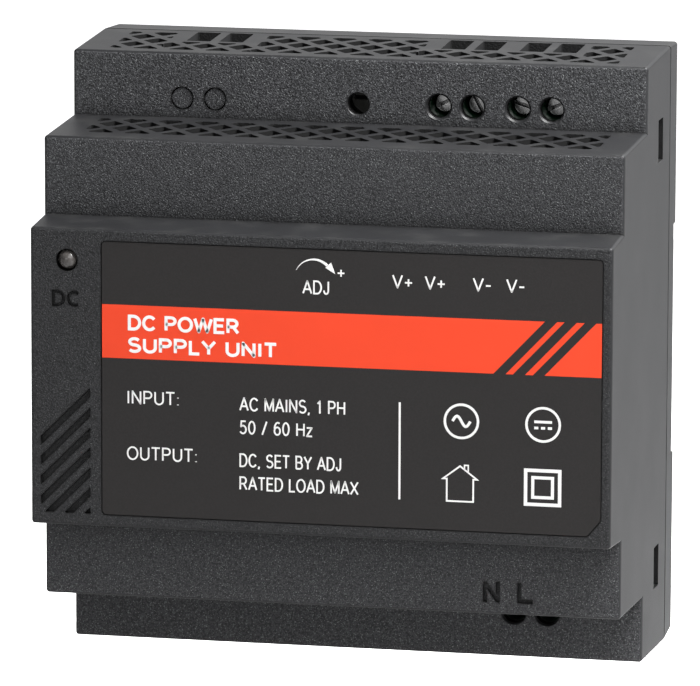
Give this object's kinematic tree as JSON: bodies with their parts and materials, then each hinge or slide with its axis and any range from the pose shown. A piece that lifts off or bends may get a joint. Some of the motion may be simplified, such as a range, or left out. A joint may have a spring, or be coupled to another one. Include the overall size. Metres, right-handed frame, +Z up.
{
  "type": "din rail power supply",
  "caption": "Stepped plastic DIN rail power supply with a vented front cover, shallow rear base, screw terminals top and bottom, voltage adjuster, status lamp and a sprung rail clip.",
  "frame": {"origin": "middle of the flat seat at the back that rests on the rail's front face", "axes": "+Z up as mounted, -Y out of the front (label) face, +Y into the rail, +X to the right seen from the front"},
  "size_m": [0.087, 0.0554, 0.0936],
  "materials": {
    "case": "fine spark-eroded texture",
    "base": "smooth satin",
    "label": "printed matt film",
    "clip": "satin",
    "spring_steel": "bright wire",
    "terminal_green": "moulded",
    "tinned_brass": "tinned",
    "trimmer_body": "moulded",
    "trimmer_rotor": "moulded",
    "lamp_lens": "diffused epoxy, unlit",
    "spacer": "moulded",
    "tinned_wire": "tinned",
    "board": "solder-masked laminate",
    "zinc_steel": "zinc plated",
    "insulator": "film",
    "ferrite": "sintered",
    "bobbin": "moulded phenolic",
    "winding_tape": "polyester tape",
    "toroid_green": "coated ferrite",
    "enamelled_copper": "enamelled",
    "toroid_yellow": "coated iron powder",
    "capacitor_sleeve": "shrink sleeve",
    "film_yellow": "moulded box",
    "disc_blue": "coated ceramic",
    "disc_green": "coated ceramic",
    "fuse_glass": "clear",
    "nickel": "nickel plated",
    "epoxy_black": "moulded epoxy",
    "sink_aluminium": "extruded",
    "cage_steel": "zinc plated",
    "screw_steel": "zinc plated"
  },
  "bodies": {
    "case": {"front_cover": "case", "rear_base": "base", "front_label": "label", "rail_clip_spring": "spring_steel", "output_block_plus": "terminal_green", "output_block_minus": "terminal_green", "input_block": "terminal_green", "contact_bars": "tinned_brass", "trimmer_body": "trimmer_body", "status_lamp": "lamp_lens", "lamp_spacer": "spacer", "lamp_leads": "tinned_wire", "main_board": "board", "board_screws": "zinc_steel", "insulating_sheet": "insulator", "transformer_core": "ferrite", "transformer_bobbin": "bobbin", "transformer_winding": "winding_tape", "transformer_pins": "tinned_wire", "filter_choke_core": "toroid_green", "filter_choke_windings": "enamelled_copper", "filter_choke_base": "bobbin", "output_inductor_core": "toroid_yellow", "output_inductor_winding": "enamelled_copper", "output_inductor_base": "bobbin", "bulk_capacitor": "capacitor_sleeve", "output_capacitors": "capacitor_sleeve", "auxiliary_capacitor": "capacitor_sleeve", "film_capacitor": "film_yellow", "suppressor_discs": "disc_blue", "surge_arrester": "disc_blue", "inrush_limiter": "disc_green", "fuse_tube": "fuse_glass", "fuse_caps": "nickel", "bridge_rectifier": "epoxy_black", "primary_heat_sink": "sink_aluminium", "secondary_heat_sink": "sink_aluminium", "switching_transistor": "epoxy_black", "output_rectifier": "epoxy_black", "package_screws": "zinc_steel", "optocoupler": "epoxy_black", "controller_chip": "epoxy_black"},
    "rail_clip": {"rail_clip": "clip"},
    "output_cage_1": {"output_cage_1": "cage_steel"},
    "output_screw_1": {"output_screw_1": "screw_steel"},
    "output_cage_2": {"output_cage_2": "cage_steel"},
    "output_screw_2": {"output_screw_2": "screw_steel"},
    "output_cage_3": {"output_cage_3": "cage_steel"},
    "output_screw_3": {"output_screw_3": "screw_steel"},
    "output_cage_4": {"output_cage_4": "cage_steel"},
    "output_screw_4": {"output_screw_4": "screw_steel"},
    "input_cage_1": {"input_cage_1": "cage_steel"},
    "input_screw_1": {"input_screw_1": "screw_steel"},
    "input_cage_2": {"input_cage_2": "cage_steel"},
    "input_screw_2": {"input_screw_2": "screw_steel"},
    "trimmer_rotor": {"trimmer_rotor": "trimmer_rotor"}
  },
  "joints": [
    {"name": "clip_slide", "type": "slide", "parent": "case", "child": "rail_clip", "axis": [0, 0, -1], "range_m": [0, 0.003], "stiffness_N_per_m": 2000, "springref_m": -0.002, "deforming": ["rail_clip_spring"]},
    {"name": "output_screw_1_turn", "type": "hinge", "parent": "case", "child": "output_screw_1", "pos_m": [0.01215, -0.0195, 0.03775], "axis": [0, 1, 0], "range_deg": [0, 2736.1]},
    {"name": "output_cage_1_lift", "type": "slide", "parent": "case", "child": "output_cage_1", "axis": [0, -1, 0], "range_m": [0, 0.0038]},
    {"name": "output_screw_2_turn", "type": "hinge", "parent": "case", "child": "output_screw_2", "pos_m": [0.01715, -0.0195, 0.03775], "axis": [0, 1, 0], "range_deg": [0, 2736.1]},
    {"name": "output_cage_2_lift", "type": "slide", "parent": "case", "child": "output_cage_2", "axis": [0, -1, 0], "range_m": [0, 0.0038]},
    {"name": "output_screw_3_turn", "type": "hinge", "parent": "case", "child": "output_screw_3", "pos_m": [0.024, -0.0195, 0.03775], "axis": [0, 1, 0], "range_deg": [0, 2736.1]},
    {"name": "output_cage_3_lift", "type": "slide", "parent": "case", "child": "output_cage_3", "axis": [0, -1, 0], "range_m": [0, 0.0038]},
    {"name": "output_screw_4_turn", "type": "hinge", "parent": "case", "child": "output_screw_4", "pos_m": [0.029, -0.0195, 0.03775], "axis": [0, 1, 0], "range_deg": [0, 2736.1]},
    {"name": "output_cage_4_lift", "type": "slide", "parent": "case", "child": "output_cage_4", "axis": [0, -1, 0], "range_m": [0, 0.0038]},
    {"name": "input_screw_1_turn", "type": "hinge", "parent": "case", "child": "input_screw_1", "pos_m": [0.024, -0.0195, -0.03775], "axis": [0, 1, 0], "range_deg": [0, 2736.1]},
    {"name": "input_cage_1_lift", "type": "slide", "parent": "case", "child": "input_cage_1", "axis": [0, -1, 0], "range_m": [0, 0.0038]},
    {"name": "input_screw_2_turn", "type": "hinge", "parent": "case", "child": "input_screw_2", "pos_m": [0.029, -0.0195, -0.03775], "axis": [0, 1, 0], "range_deg": [0, 2736.1]},
    {"name": "input_cage_2_lift", "type": "slide", "parent": "case", "child": "input_cage_2", "axis": [0, -1, 0], "range_m": [0, 0.0038]},
    {"name": "trimmer_turn", "type": "hinge", "parent": "case", "child": "trimmer_rotor", "pos_m": [0, -0.0098, 0.03775], "axis": [0, 1, 0], "continuous": true}
  ],
  "couplings": [
    {"joint": "output_screw_1_turn", "follows": "output_cage_1_lift", "rad_per_m": 12566},
    {"joint": "output_screw_2_turn", "follows": "output_cage_2_lift", "rad_per_m": 12566},
    {"joint": "output_screw_3_turn", "follows": "output_cage_3_lift", "rad_per_m": 12566},
    {"joint": "output_screw_4_turn", "follows": "output_cage_4_lift", "rad_per_m": 12566},
    {"joint": "input_screw_1_turn", "follows": "input_cage_1_lift", "rad_per_m": 12566},
    {"joint": "input_screw_2_turn", "follows": "input_cage_2_lift", "rad_per_m": 12566}
  ]
}
